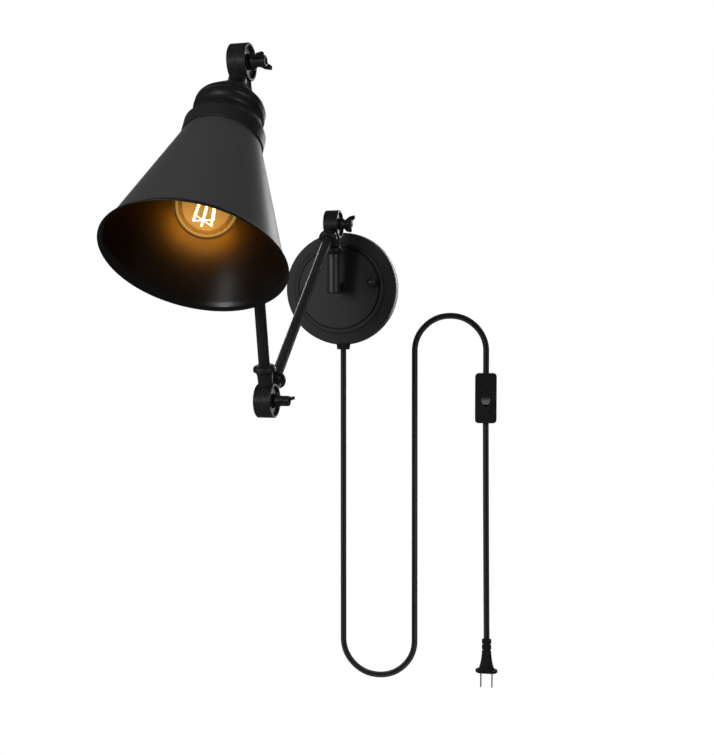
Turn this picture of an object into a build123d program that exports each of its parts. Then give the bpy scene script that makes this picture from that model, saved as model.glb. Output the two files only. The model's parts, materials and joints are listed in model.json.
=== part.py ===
from build123d import *
import math
import os

# Wall sconce with a two-arm swing bracket. Millimetres, +Z up, wall plane at Y = 0,
# front towards -Y, origin where the canopy's centre line meets the wall.

# --- pose of the arms as stored, degrees ---
swivel_rest = 5.3  # turn of the arm plane about +Z, from straight out towards -X
lower_arm_dip = 38.8  # lower arm below horizontal
upper_arm_rise = 78.2  # upper arm above horizontal
shade_dip = 59.1  # shade axis below horizontal

# --- arm layout ---
swivel_offset = 62.0  # wall to swivel axis
arm_length = 286.5  # pivot to pivot, both arms
tube_radius = 5.0
tube_wall = 1.0

# --- clearances ---
running_clearance = 0.06  # radial, a turning shaft in its bore
slip_clearance = 0.05  # radial, pieces pushed together and fixed
swing_clearance = 0.5  # between a drum and the neck that passes over it
face_play = 0.03  # axial, a washer against the face that turns on it
cut_margin = 1.0  # how far a cutting tool runs past the faces it cuts

# --- knuckle drum, split in two halves across the hinge axis ---
drum_radius = 15.2
drum_half_width = 7.9
friction_ring_thickness = 0.8
ring_inset = 0.2  # the ring's edges inside the rim's edges
drum_rim = 2.4
boss_radius = 6.2
web_inner = 4.2  # from the middle plane
web_outer = 5.8
dish_depth_at_boss = 0.4
drum_edge = 0.5
cable_bore_radius = 2.6
cable_bore_offset = 1.4  # off the middle plane, into the drum half's own cavity

# --- knuckle neck and the bell that takes the tube ---
neck_root_wide = 7.3  # half width along the hinge axis where it leaves the drum
neck_root_deep = 5.0  # half width in the plane of swing
neck_waist = 17.5  # distances from the pivot along the stem
neck_waist_wide = 6.8
neck_waist_deep = 5.8
neck_radius = 7.0
neck_top = 22.5
bell_lip = 27.8
bell_lip_band = 1.2  # short cylinder at the lip
bell_radius = 10.1
bell_top = 32.7
bell_crown_radius = 6.4
bell_crown_swell = 1.3  # how far the crown bulges past a straight cone
tube_seat = 20.2

# --- pivot hardware ---
pivot_screw_radius = 3.0
screw_head_radius = 5.8
screw_head_height = 1.5
spring_washer_radius = 5.6
spring_washer_thickness = 1.3
nut_base_radius = 7.0
nut_hub_radius = 4.6
nut_base_height = 4.2
nut_base_land = 1.2
nut_height = 12.2
wing_reach = 13.2  # axis to the tip of a wing
wing_overhang = 1.8  # tips beyond the end of the hub
wing_thickness = 2.0
wing_tip_width = 2.8
wing_tip_round = 1.0
wing_swell = 0.62  # where a wing's outer edge turns, as a part of the nut's height
screw_tip_inset = 0.8  # the screw's end below the hub's end face
lower_wing_turn = 9.0  # wings at rest, degrees round the screw
elbow_wing_turn = 89.0
shade_wing_turn = -74.0

# --- swivel barrel ---
barrel_radius = 7.1
barrel_top = 34.8
barrel_bottom = -6.4
barrel_ledge_low = 8.0
barrel_ledge_high = 11.0
pin_journal_radius = 4.5
pin_stud_radius = 3.6
pin_bore_radius = 2.0
chamber_radius = 5.4
pin_nut_height = 3.6
pin_nut_across = 8.6
pin_thread_reach = 0.8  # stud past its nut
end_cap_thickness = 1.2
end_cap_spigot = 2.2
end_cap_wall = 1.2
thrust_washer_thickness = 0.5
stem_radius = 5.8

# --- canopy ---
canopy_radius = 65.0
canopy_wall = 1.5
rim_depth = 15.2
rim_draft = 1.1
rim_edge = 2.4
shoulder_inset = 3.8  # insets are measured from the canopy's radius
cove_inset = 12.4
cove_depth = 23.4
bead_inset = 16.6
bead_depth = 26.4
bead_land = 1.4
groove_inset = 18.4
groove_width = 1.2
groove_depth = 25.6
disc_edge_depth = 27.8
disc_depth = 31.0
nipple_radius = 4.9
nipple_bore = 2.5
nipple_grip = 8.0  # threaded length in the stem
nipple_tail = 9.0  # threaded length behind the canopy's face

# --- bracket and canopy fasteners, on a line a little off level ---
stud_spacing = 77.0
stud_line_angle = 7.8
stud_radius = 2.0
cap_nut_radius = 5.2
cap_nut_base_radius = 4.4
cap_nut_base = 2.0
bracket_length = 104.0
bracket_width = 20.0
bracket_thickness = 2.0
wall_screw_circle = 56.0
wall_screw_hole_radius = 2.4
nut_across = 14.0  # hex nuts on the nipples
nut_sides = 6
nut_thickness = 3.0

# --- cord: flat twin flex, held off the wall by half the switch ---
cord_width = 6.8
cord_thickness = 3.4
cord_plane = -8.0
gland_offset = 1.9  # sideways from the canopy's centre
gland_half_width = 8.1
gland_half_depth = 5.6
gland_drop = 5.2
gland_draft = 0.9
gland_neck = 4.6  # half depth of the stadium that passes the canopy wall
gland_inside = 5.0
gland_neck_sink = 2.0  # neck into the tapered head
gland_nut_gap = 0.2  # behind the canopy's side wall
gland_nut_thickness = 2.4
gland_nut_margin = 2.0

# --- in-line switch ---
switch_width = 24.2
switch_length = 56.6
switch_depth = 15.0
switch_corner = 4.0
switch_edge = 1.6
switch_wall = 1.8
switch_split = 7.0  # depth of the back half
switch_center_x = 166.0
switch_top = -96.8
rocker_width = 10.6
rocker_length = 17.2
rocker_tilt = 8.0
rocker_gap = 0.4
rocker_rise = 0.9
rocker_dish = 30.0  # radius of the hollow finger face
rocker_dish_depth = 1.0
axle_height = 3.9  # above the switch's middle plane
axle_radius = 0.9
axle_lug = 2.2
axle_lug_depth = 3.2
axle_lug_width = 4.48
axle_lug_bite = 0.1  # into the cover's front wall
axle_in_lug = 1.76  # how far the rocker's axle enters a lug
axle_bore_reach = 1.15  # end of the bore, as a multiple of the lugs' distance
rocker_depth = 2.4  # below the axle
switch_screw_radius = 1.3
switch_screw_head = 2.4
switch_head_sink = 0.4  # head below the back face
switch_shank_start = 0.6
switch_head_clearance = 0.1
switch_post_radius = 2.9
switch_post_reach = 19.5
terminal_width = 5.0
terminal_length = 9.0
terminal_height = 3.4
terminal_reach = 13.2

# --- plug ---
plug_center_x = 168.4
plug_relief_top = -402.6
plug_body_top = -420.8
plug_flange_top = -437.6
plug_face = -440.9
plug_rib_count = 3
plug_groove = 1.9  # gap between ribs
plug_rib_half = 5.4
plug_rib_depth = 3.2
plug_core_half = 3.9
plug_core_depth = 2.3
plug_shoulder_half = 5.7
plug_shoulder_depth = 3.5
plug_waist_half = 6.5
plug_waist_depth = 4.6
plug_waist_drop = 7.0
plug_skirt_half = 9.2
plug_skirt_depth = 6.2
plug_flange_half = 12.6
plug_flange_depth = 6.9
plug_flange_edge = 1.1
blade_spacing = 12.7
blade_thickness = 1.5
blade_width = 6.35
blade_length = 17.1
blade_root = 6.0
blade_hole_radius = 1.6
blade_hole_from_tip = 5.2

# --- shade head, distances along the shade axis from its pivot ---
head_neck_wide = 8.0
head_neck_end = 19.2
head_neck_radius = 7.5
flare_cone_start = 25.8  # where the cone's line would meet the neck
flare_cone_end = 49.4  # and where it would meet the flare's rim
flare_throat_round = 15.0
flare_shoulder_round = 7.4
flare_edge = 53.0
flare_radius = 28.5
flare_wall = 2.0
flare_floor = 32.0  # where the hollow under the flare begins
flare_floor_round = 3.0
nipple_seat = 24.0
cap_wall = 1.4
cap_edge_radius = 27.8  # top edge of the cap, in the groove under the flare
bead_widest = 56.2
bead_radius = 28.7
waist_top = 61.4
waist_radius = 26.8
waist_low = 64.2  # where the waist's wall would meet the spread of the skirt
waist_round = 4.0
skirt_spread = 72.0  # where the spread would meet the skirt's straight end
skirt_round = 6.0
skirt_end = 80.0
band_top = 74.2
band_bottom = 86.5
band_wall = 1.2
band_edge = 0.4
rim_break = 0.5  # small chamfer on the flare's rim
shade_top = 79.0
shade_top_radius = 28.6
shade_edge = 190.0
shade_edge_radius = 65.8
lip_reach = 4.2
lip_drop = 5.2
lip_knee_reach = 1.596  # where the lip turns outwards
lip_knee_drop = 2.86
shade_corner = 1.0
shade_hole_gap = 0.4  # round the lamp holder
shade_wall = 1.1

# --- lamp holder and bulb ---
holder_top = 66.0
holder_neck_radius = 15.0
holder_neck_grip = 5.0  # nipple into the holder
holder_flange_thickness = 3.0
holder_flange_radius = 24.0
holder_radius = 19.4
holder_edge = 0.8
holder_mouth = 116.0
holder_well = 90.0
shell_top = 92.0
shell_bottom = 114.5
shell_wall = 0.5
clamp_ring_radius = 24.5
clamp_ring_height = 5.0
clamp_ring_notches = 24
clamp_ring_flange = 1.2  # full-width part beside the shade
clamp_notch_depth = 0.8
clamp_notch_width = 2.2
contact_radius = 4.6
contact_leaf = 0.9
base_radius = 13.2
base_wall = 0.65
base_top = 93.4
base_bottom = 118.0
bulb_button_radius = 4.0
bulb_button_top = 91.7
insulator_top = 92.5
insulator_depth = 1.3
globe_radius = 24.6
globe_center = 147.0
glass_neck_start = 108.0
glass_neck_blend = 5.0
glass_wall = 0.8
stem_press_radius = 4.2
stem_press_start = 112.0
stem_press_end = 128.0
stem_disc_thickness = 1.2
support_radius = 1.0
filament_radius = 0.8
filament_top = 131.0
filament_bottom = 160.0
filament_circle_top = 5.0
filament_circle_bottom = 8.0
filament_count = 6

# --- wiring ---
wire_radius = 1.1
splice_radius = 2.2
splice_length = 14.0
splice_top = -22.0
splice_spread = 4.5
splice_setback = 9.0  # splices behind the nipple's mouth, towards the wall
wire_bend = 3.0


def heading(elevation):
    """Unit vector in the arm plane at an angle above horizontal, pointing away from the wall."""
    turn = math.radians(swivel_rest)
    lift = math.radians(elevation)
    return Vector(-math.sin(turn) * math.cos(lift), -math.cos(turn) * math.cos(lift), math.sin(lift))


hinge_axis = Vector(math.cos(math.radians(swivel_rest)), -math.sin(math.radians(swivel_rest)), 0)
lower_direction = heading(-lower_arm_dip)
upper_direction = heading(upper_arm_rise)
shade_direction = heading(-shade_dip)

pivot_height = barrel_top + thrust_washer_thickness + bell_top
lower_pivot = Vector(0, -swivel_offset, pivot_height)
elbow_pivot = lower_pivot + lower_direction * arm_length
shade_pivot = elbow_pivot + upper_direction * arm_length


def along(origin, direction):
    """Frame at a pivot: local X is the hinge axis, local Z runs along the stem."""
    return Plane(origin=origin, x_dir=hinge_axis, z_dir=direction)


post_frame = along(lower_pivot, Vector(0, 0, -1))
lower_rear_frame = along(lower_pivot, lower_direction)
lower_front_frame = along(elbow_pivot, lower_direction * -1)
upper_low_frame = along(elbow_pivot, upper_direction)
upper_high_frame = along(shade_pivot, upper_direction * -1)
head_frame = along(shade_pivot, shade_direction)
swivel_frame = Plane(origin=(0, -swivel_offset, 0), x_dir=hinge_axis, z_dir=(0, 0, 1))
wall_frame = Plane(origin=(0, 0, 0), x_dir=(1, 0, 0), z_dir=(0, -1, 0))  # local Z leaves the wall
stud_frame = wall_frame * Rot(0, 0, stud_line_angle)


# ---------- shared shapes ----------

def ring_outline(points):
    """Closed face in the XZ plane from (radius, height) corners."""
    return make_face(Polyline(*[(r, 0, z) for r, z in points], close=True))


def turned(points):
    """Solid of revolution about Z from (radius, height) corners."""
    return revolve(ring_outline(points), Axis.Z)


def turned_about_x(points):
    """Solid of revolution about X from (position, radius) corners."""
    return revolve(make_face(Polyline(*[(x, 0, r) for x, r in points], close=True)), Axis.X)


def rod(radius, low, high):
    """Cylinder on the Z axis between two heights."""
    return Pos(0, 0, (low + high) / 2) * Cylinder(radius, high - low)


def tube(outer, inner, low, high):
    return rod(outer, low, high) - rod(inner, low, high)


def group(shapes):
    """Several loose pieces kept as one node."""
    return Compound([solid for shape in shapes for solid in shape.solids()])


def rod_x(radius, low, high):
    """Cylinder on the X axis between two positions."""
    return Pos((low + high) / 2, 0, 0) * Rot(0, 90, 0) * Cylinder(radius, high - low)


def hex_nut(across, bore, low, high):
    outline = RegularPolygon(across / 2, nut_sides, major_radius=False)
    prism = Pos(0, 0, low) * extrude(outline, high - low)
    return prism - rod(bore, low - cut_margin, high + cut_margin)


def inward(points, wall):
    """The same open outline moved sideways by the wall, towards the axis side."""
    moved = []
    for i, (r, z) in enumerate(points):
        normals = []
        for j in (i - 1, i):
            if 0 <= j < len(points) - 1:
                dr = points[j + 1][0] - points[j][0]
                dz = points[j + 1][1] - points[j][1]
                size = math.hypot(dr, dz)
                normals.append((dz / size, -dr / size))
        nr = sum(n[0] for n in normals) / len(normals)
        nz = sum(n[1] for n in normals) / len(normals)
        scale = wall / (nr * nr + nz * nz)
        moved.append((r - nr * scale, z - nz * scale))
    return moved


def spun_shell(points, wall):
    """Thin spun shell from its outer outline, listed so that the axis lies on the inner side."""
    return turned(points + inward(points, wall)[::-1])


# ---------- knuckles ----------

mating_face = friction_ring_thickness / 2
rim_inner = drum_radius - drum_rim
screw_bore = pivot_screw_radius + running_clearance
boss_face = drum_half_width - dish_depth_at_boss


def drum_half():
    """Half drum on the +X side: rim, dished outer face, centre boss, and a wire cavity inside."""
    return turned_about_x([
        (mating_face, screw_bore),
        (mating_face, boss_radius),
        (web_inner, boss_radius),
        (web_inner, rim_inner),
        (mating_face, rim_inner),
        (mating_face, drum_radius),
        (drum_half_width - drum_edge, drum_radius),
        (drum_half_width, drum_radius - drum_edge),
        (drum_half_width, rim_inner + drum_edge),
        (web_outer, rim_inner - drum_edge),
        (web_outer, boss_radius + drum_edge),
        (boss_face, boss_radius - drum_edge),
        (boss_face, screw_bore),
    ])


def neck_loft(root_wide, end, end_radius):
    """Neck that leaves the drum as an ellipse and ends round."""
    sections = [
        Pos(0, 0, rim_inner + 0.1) * Ellipse(root_wide, neck_root_deep),
        Pos(0, 0, neck_waist) * Ellipse(neck_waist_wide, neck_waist_deep),
        Pos(0, 0, end) * Circle(end_radius),
    ]
    return loft(sections)


def other_half_space():
    """What the opposite drum half sweeps, to be cleared from a neck."""
    return rod_x(drum_radius + swing_clearance, -3 * drum_half_width, mating_face)


def tube_bell():
    """Trumpet collar round the end of the tube, rounded over its crown."""
    lip_low = bell_lip - bell_lip_band / 2
    lip_high = bell_lip + bell_lip_band / 2
    swell = bell_crown_swell * math.sqrt(0.5)
    middle = ((bell_radius + bell_crown_radius) / 2 + swell, 0, (lip_high + bell_top) / 2 + swell)
    trumpet = TangentArc((neck_radius, 0, neck_top), (bell_radius, 0, lip_low), tangent=(0, 0, 1))
    lip = Line((bell_radius, 0, lip_low), (bell_radius, 0, lip_high))
    crown = ThreePointArc((bell_radius, 0, lip_high), middle, (bell_crown_radius, 0, bell_top))
    core = Polyline(crown @ 1, (0, 0, bell_top), (0, 0, neck_top), trumpet @ 0)
    return revolve(make_face([trumpet, lip, crown, core]), Axis.Z)


def cable_bore(end):
    """Wire way from the drum's cavity up the neck."""
    return Pos(cable_bore_offset, 0, 0) * rod(cable_bore_radius, boss_radius + 0.5, end)


def knuckle(side):
    """Casting at the end of an arm: drum half on one side, neck and bell on the centre line."""
    neck = neck_loft(neck_root_wide, neck_top, neck_radius) + tube_bell() - other_half_space()
    body = drum_half() + neck - cable_bore(tube_seat)
    body -= rod(tube_radius + slip_clearance, tube_seat, bell_top + cut_margin)
    return mirror(body, about=Plane.YZ) if side < 0 else body


def arm_tube(frame):
    return frame * tube(tube_radius, tube_radius - tube_wall, tube_seat, arm_length - tube_seat)


def pivot_screw(frame):
    """Screw through the drum, head in the left dish, shank out through the wing nut."""
    head = turned_about_x([
        (-boss_face, 0),
        (-boss_face, screw_head_radius),
        (-boss_face - screw_head_height * 0.4, screw_head_radius),
        (-boss_face - screw_head_height, screw_head_radius * 0.6),
        (-boss_face - screw_head_height, 0),
    ])
    tip = boss_face + spring_washer_thickness + nut_height - screw_tip_inset
    return frame * (head + rod_x(pivot_screw_radius, -boss_face, tip))


def friction_ring(frame):
    """Fibre ring glued to one drum half, with a little play at the half that turns on it."""
    ring = rod_x(drum_radius - ring_inset, -mating_face, mating_face - face_play)
    return frame * (ring - rod_x(rim_inner + ring_inset, -drum_half_width, drum_half_width))


def spring_washer(frame):
    low, high = boss_face, boss_face + spring_washer_thickness
    bore = rod_x(screw_bore, low - cut_margin, high + cut_margin)
    return frame * (rod_x(spring_washer_radius, low, high) - bore)


def wing_nut(frame, turn):
    """Cone-based hub with two wings that rise past its end."""
    seat = boss_face + spring_washer_thickness
    end = seat + nut_height
    hub = turned_about_x([
        (seat, screw_bore),
        (seat, nut_base_radius),
        (seat + nut_base_land, nut_base_radius),
        (seat + nut_base_height, nut_hub_radius),
        (end - drum_edge, nut_hub_radius),
        (end, nut_hub_radius - drum_edge),
        (end, screw_bore),
    ])
    root = (screw_bore + nut_hub_radius) / 2
    blank = make_face(Polyline(
        (seat + nut_base_height, 0, root),
        (seat + nut_base_height, 0, nut_hub_radius + wing_thickness),
        (seat + nut_height * wing_swell, 0, wing_reach - wing_thickness),
        (end + wing_overhang - drum_edge * 2, 0, wing_reach),
        (end + wing_overhang, 0, wing_reach - wing_tip_width),
        (end - drum_edge, 0, nut_hub_radius + drum_edge),
        (end - drum_edge, 0, root),
        close=True,
    ))
    corners = blank.vertices().filter_by(lambda v: v.Z > nut_hub_radius + wing_thickness * 0.9)
    blank = fillet(corners, wing_tip_round)
    wing = extrude(blank, wing_thickness / 2, both=True)
    wings = wing + mirror(wing, about=Plane.XY)
    return frame * Rot(turn, 0, 0) * (hub + wings)


def arm_wires(frame):
    """Two insulated leads lying along the bottom of an arm tube's bore."""
    reach = tube_radius - tube_wall - wire_radius - slip_clearance
    leads = []
    for x in (-wire_radius - slip_clearance, wire_radius + slip_clearance):
        y = math.sqrt(reach ** 2 - x ** 2)
        lead = rod(wire_radius, tube_seat + wire_radius, arm_length - tube_seat - wire_radius)
        leads.append(Pos(x, y, 0) * lead)
    return frame * group(leads)


# ---------- swivel ----------

pin_nut_low = barrel_ledge_low - pin_nut_height


def swivel_pin():
    """Hollow pin: pushed into the post's bell above, journal and threaded end below."""
    stud_end = pivot_height - pin_nut_low + pin_thread_reach
    pin = rod(tube_radius, tube_seat, bell_top)
    pin += rod(pin_journal_radius, tube_seat, pivot_height - barrel_ledge_high)
    pin += rod(pin_stud_radius, tube_seat, stud_end)
    return post_frame * (pin - rod(pin_bore_radius, tube_seat - cut_margin, stud_end + cut_margin))


def thrust_washer():
    top = barrel_top + thrust_washer_thickness - face_play
    return swivel_frame * tube(barrel_radius, pin_journal_radius + running_clearance, barrel_top, top)


def pin_nut():
    return swivel_frame * hex_nut(pin_nut_across, pin_stud_radius, pin_nut_low, barrel_ledge_low)


def swivel_barrel():
    """Barrel with a ledge inside for the pin's nut, and the stem that stands off the canopy."""
    barrel = rod(barrel_radius, barrel_bottom, barrel_top)
    body = swivel_frame * barrel + wall_frame * rod(stem_radius, disc_depth, swivel_offset)
    journal = rod(pin_journal_radius + running_clearance, barrel_ledge_high, barrel_top + cut_margin)
    stud = rod(pin_stud_radius + running_clearance, barrel_bottom, barrel_top)
    chamber = rod(chamber_radius, barrel_bottom - cut_margin, barrel_ledge_low)
    body -= swivel_frame * (journal + stud + chamber)
    wire_way = rod(nipple_bore, disc_depth, swivel_offset)
    thread = rod(nipple_radius, disc_depth - cut_margin, disc_depth + nipple_grip)
    return body - wall_frame * (wire_way + thread)


def barrel_end_cap():
    plate = rod(barrel_radius, barrel_bottom - end_cap_thickness, barrel_bottom)
    plate = chamfer(plate.edges().sort_by(Axis.Z)[0], end_cap_thickness * 0.4)
    outer = chamber_radius - slip_clearance
    spigot = tube(outer, outer - end_cap_wall, barrel_bottom, barrel_bottom + end_cap_spigot)
    return swivel_frame * (plate + spigot)


def stem_nipple():
    """Threaded tube that holds the stem on the canopy and carries the wires."""
    low, high = disc_depth - nipple_tail, disc_depth + nipple_grip
    return wall_frame * tube(nipple_radius, nipple_bore, low, high)


def nipple_nut():
    nut_corner = nut_across / 2 / math.cos(math.pi / nut_sides)
    seat = disc_face_depth(nut_corner) - canopy_wall
    return wall_frame * hex_nut(nut_across, nipple_radius, seat - nut_thickness, seat)


# ---------- canopy and bracket ----------

stud_reach = stud_spacing / 2
groove_radius = canopy_radius - groove_inset
disc_edge_radius = groove_radius - groove_width
disc_rise = disc_depth - disc_edge_depth
disc_sphere = (disc_edge_radius ** 2 + disc_rise ** 2) / (2 * disc_rise)


def disc_face_depth(radius):
    """Depth of the domed disc's outer face at a radius."""
    return disc_depth - disc_sphere + math.sqrt(disc_sphere ** 2 - radius ** 2)


def canopy_outline():
    """Outer outline from the wall edge to the rim of the disc, as (radius, depth) corners."""
    rim = canopy_radius - rim_draft
    cove = canopy_radius - cove_inset
    bead = canopy_radius - bead_inset
    return [
        (canopy_radius, 0),
        (rim, rim_depth - rim_edge),
        (rim - rim_edge * 0.4, rim_depth - rim_edge * 0.3),
        (canopy_radius - shoulder_inset, rim_depth + rim_edge * 0.25),
        (cove, cove_depth),
        (cove - bead_land / 2, cove_depth + bead_land),
        (bead + bead_land, bead_depth),
        (bead, bead_depth - bead_land * 0.2),
        (groove_radius, groove_depth),
        (disc_edge_radius, groove_depth),
        (disc_edge_radius, disc_edge_depth),
    ]


def canopy():
    """Spun canopy: drafted rim, sloping shoulder, bead, groove and domed disc."""
    outer = canopy_outline()
    under_cove = outer[:6]
    bead_radius_inside = outer[7][0] - canopy_wall
    inner = inward(under_cove, canopy_wall)
    inner.append((bead_radius_inside, bead_depth - canopy_wall * 1.6))
    disc_start = bead_radius_inside - 2 * canopy_wall
    inner.append((disc_start, disc_face_depth(disc_start) - canopy_wall))
    hub = nipple_radius + slip_clearance

    def arc(drop, start):
        middle = (start[0] / 2, 0, disc_face_depth(start[0] / 2) - drop)
        return ThreePointArc((start[0], 0, start[1]), middle, (hub, 0, disc_face_depth(hub) - drop))

    outer_arc = arc(0, outer[-1])
    inner_arc = arc(canopy_wall, inner[-1])
    outline = [
        Polyline(*[(r, 0, z) for r, z in outer]),
        outer_arc,
        Line(outer_arc @ 1, inner_arc @ 1),
        inner_arc,
        Polyline(*[(r, 0, z) for r, z in inner]),
        Line((outer[0][0], 0, outer[0][1]), (inner[0][0], 0, inner[0][1])),
    ]
    shell = wall_frame * revolve(make_face(outline), Axis.Z)
    stud_hole = rod(stud_radius + slip_clearance, 0, disc_depth + cut_margin)
    for side in (-1, 1):
        shell -= stud_frame * Pos(side * stud_reach, 0, 0) * stud_hole
    return shell - gland_passage(slip_clearance)


def mounting_bracket():
    """Flat strap: nipple hole in the middle, threaded stud holes and wall screw holes beside it."""
    strap = Pos(0, 0, bracket_thickness / 2) * Box(bracket_length, bracket_width, bracket_thickness)
    strap = fillet(strap.edges().filter_by(Axis.Z), bracket_width * 0.2)
    low, high = -cut_margin, bracket_thickness + cut_margin
    strap -= rod(nipple_radius, low, high)
    for side in (-1, 1):
        strap -= Pos(side * stud_reach, 0, 0) * rod(stud_radius, low, high)
        strap -= Pos(side * wall_screw_circle / 2, 0, 0) * rod(wall_screw_hole_radius, low, high)
    return stud_frame * strap


cap_nut_middle = disc_face_depth(stud_reach) + cap_nut_base + cap_nut_radius * 0.75
stud_tip = cap_nut_middle + cap_nut_radius * 0.3


def canopy_studs():
    stud = rod(stud_radius, 0, stud_tip)
    return stud_frame * group([Pos(side * stud_reach, 0, 0) * stud for side in (-1, 1)])


def cap_nuts():
    """Ball-ended nuts that clamp the canopy, one on each stud."""
    nut = rod(cap_nut_base_radius, disc_face_depth(disc_edge_radius), cap_nut_middle)
    nut += Pos(0, 0, cap_nut_middle) * Sphere(cap_nut_radius)
    nut -= rod(stud_radius, 0, stud_tip)
    dome = Pos(0, 0, disc_depth - disc_sphere) * Sphere(disc_sphere)
    return stud_frame * group([Pos(side * stud_reach, 0, 0) * nut - dome for side in (-1, 1)])


# ---------- cord outlet ----------

gland_frame = Plane(origin=(gland_offset, cord_plane, 0), x_dir=(1, 0, 0), z_dir=(0, 0, 1))
gland_bottom = -canopy_radius - gland_drop
gland_top = -canopy_radius + canopy_wall + gland_inside
gland_neck_half = gland_half_width - gland_half_depth + gland_neck


def stadium(half_width, half_depth):
    return SlotOverall(half_width * 2, half_depth * 2)


def gland_passage(grow):
    """The stadium prism that passes the canopy's side wall."""
    prism = extrude(stadium(gland_neck_half + grow, gland_neck + grow), gland_top - gland_bottom)
    return gland_frame * Pos(0, 0, gland_bottom) * prism


def cord_gland():
    """Moulded bushing: tapered head that hugs the rim, and a neck through the side wall."""
    seat = -math.sqrt(canopy_radius ** 2 - (gland_half_width + abs(gland_offset)) ** 2)
    foot = stadium(gland_half_width - gland_draft, gland_half_depth - gland_draft)
    flare = stadium(gland_half_width, gland_half_depth)
    head = gland_frame * loft([Pos(0, 0, gland_bottom) * foot, Pos(0, 0, seat) * flare])
    rim = turned([
        (0, 0),
        (canopy_radius + slip_clearance, 0),
        (canopy_radius - rim_draft + slip_clearance, rim_depth),
        (0, rim_depth),
    ])
    neck_bottom = seat - gland_neck_sink
    neck = Pos(0, 0, neck_bottom) * extrude(stadium(gland_neck_half, gland_neck), gland_top - neck_bottom)
    return head - wall_frame * rim + gland_frame * neck


def gland_nut():
    """Flat nut that holds the gland from inside, clear of the rim's curve."""
    half = gland_neck_half + gland_nut_margin
    inner_radius = canopy_radius - rim_draft - canopy_wall
    low = gland_nut_gap - math.sqrt(inner_radius ** 2 - (half + abs(gland_offset)) ** 2)
    plate = extrude(stadium(half, gland_neck + gland_nut_margin * 0.6), gland_nut_thickness)
    plate -= extrude(stadium(gland_neck_half, gland_neck), gland_nut_thickness)
    return gland_frame * Pos(0, 0, low) * plate


def swept_wire(points, radius, bend):
    path = FilletPolyline(*points, radius=bend)
    return sweep(Plane(path @ 0, z_dir=path % 0) * Circle(radius), path)


def canopy_wires():
    """Insulated leads from the cord up into the stem's nipple, each with a crimped sleeve."""
    gap = wire_radius + slip_clearance
    nipple_mouth = nipple_tail - disc_depth
    splice_y = nipple_mouth + splice_setback
    straight = 2 * wire_bend
    leads = []
    for side in (-1, 1):
        upper = [
            (side * gap, nipple_mouth - wire_bend, 0),
            (side * gap, splice_y - 2, 0),
            (side * splice_spread, splice_y, splice_top + straight),
            (side * splice_spread, splice_y, splice_top),
        ]
        lower = [
            (side * splice_spread, splice_y, splice_top - splice_length),
            (side * splice_spread, splice_y, splice_top - splice_length - straight),
            (gland_offset + side * gap, cord_plane, gland_top + straight),
            (gland_offset + side * gap, cord_plane, gland_top),
        ]
        sleeve = chamfer(rod(splice_radius, splice_top - splice_length, splice_top).edges(), 0.4)
        sleeve = Pos(side * splice_spread, splice_y, 0) * sleeve
        leads.append(swept_wire(upper, wire_radius, wire_bend) + sleeve
                     + swept_wire(lower, wire_radius, wire_bend))
    return group(leads)


# ---------- cord ----------

cord_route_lead = [
    (gland_offset, gland_bottom),
    (gland_offset, -425.7),
    (26.3, -450.2),
    (60.9, -450.2),
    (85.4, -425.7),
    (84.8, -55.4),
    (108.4, -31.7),
    (142.0, -31.7),
    (switch_center_x, -55.4),
    (switch_center_x, switch_top),
]
switch_bottom = switch_top - switch_length
cord_route_tail = [(switch_center_x, switch_bottom), (plug_center_x, plug_relief_top)]


def corner_radii(points):
    """Largest arc that each corner's two runs allow."""
    radii = []
    for before, corner, after in zip(points, points[1:], points[2:]):
        arriving = Vector(corner[0] - before[0], corner[1] - before[1])
        leaving = Vector(after[0] - corner[0], after[1] - corner[1])
        half_turn = math.radians(arriving.get_angle(leaving) / 2)
        radii.append(0.45 * min(arriving.length, leaving.length) / math.tan(half_turn))
    return radii


def flat_cord(name, points):
    """Flat twin flex along its route, broad side to the wall."""
    route = [(x, cord_plane, z) for x, z in points]
    radii = corner_radii(points)
    path = FilletPolyline(*route, radius=radii) if radii else Line(*route)
    start = Plane(origin=path @ 0, x_dir=(1, 0, 0), z_dir=(0, 0, -1))
    section = start * stadium(cord_width / 2, cord_thickness / 2)
    cord = sweep(section, path)
    print(name, "length", round(path.length, 1), "radii", [round(r, 1) for r in radii])
    print(name, "volume", round(cord.volume), "section x length", round(section.area * path.length))
    return cord


# ---------- switch ----------

switch_frame = Plane(
    origin=(switch_center_x, cord_plane, switch_top - switch_length / 2),
    x_dir=(1, 0, 0),
    z_dir=(0, -1, 0),
)
switch_back = -switch_depth / 2
switch_front = switch_depth / 2
switch_seam = switch_back + switch_split


def switch_half(low, high, outer_face):
    """One hollow half of the case, with its outer edges rounded."""
    half = Pos(0, 0, (low + high) / 2) * Box(switch_width, switch_length, high - low)
    half = fillet(half.edges().filter_by(Axis.Z), switch_corner)
    face = half.faces().sort_by(Axis.Z)[outer_face]
    half = fillet(face.edges(), switch_edge)
    hollow = Box(switch_width - 2 * switch_wall, switch_length - 2 * switch_wall, high - low)
    hollow = fillet(hollow.edges().filter_by(Axis.Z), switch_corner - switch_wall)
    shift = switch_wall if outer_face == 0 else -switch_wall
    return half - Pos(0, 0, (low + high) / 2 + shift) * hollow


def screw_places():
    return [Pos(0, side * switch_post_reach, 0) for side in (-1, 1)]


def switch_base():
    base = switch_half(switch_back, switch_seam, 0)
    for place in screw_places():
        base += place * rod(switch_post_radius, switch_back + 1, switch_seam)
        base -= place * rod(switch_screw_radius, switch_back - 1, switch_seam + 1)
        base -= place * rod(switch_screw_head, switch_back - 1, switch_back + switch_wall)
    return switch_frame * base


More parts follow.
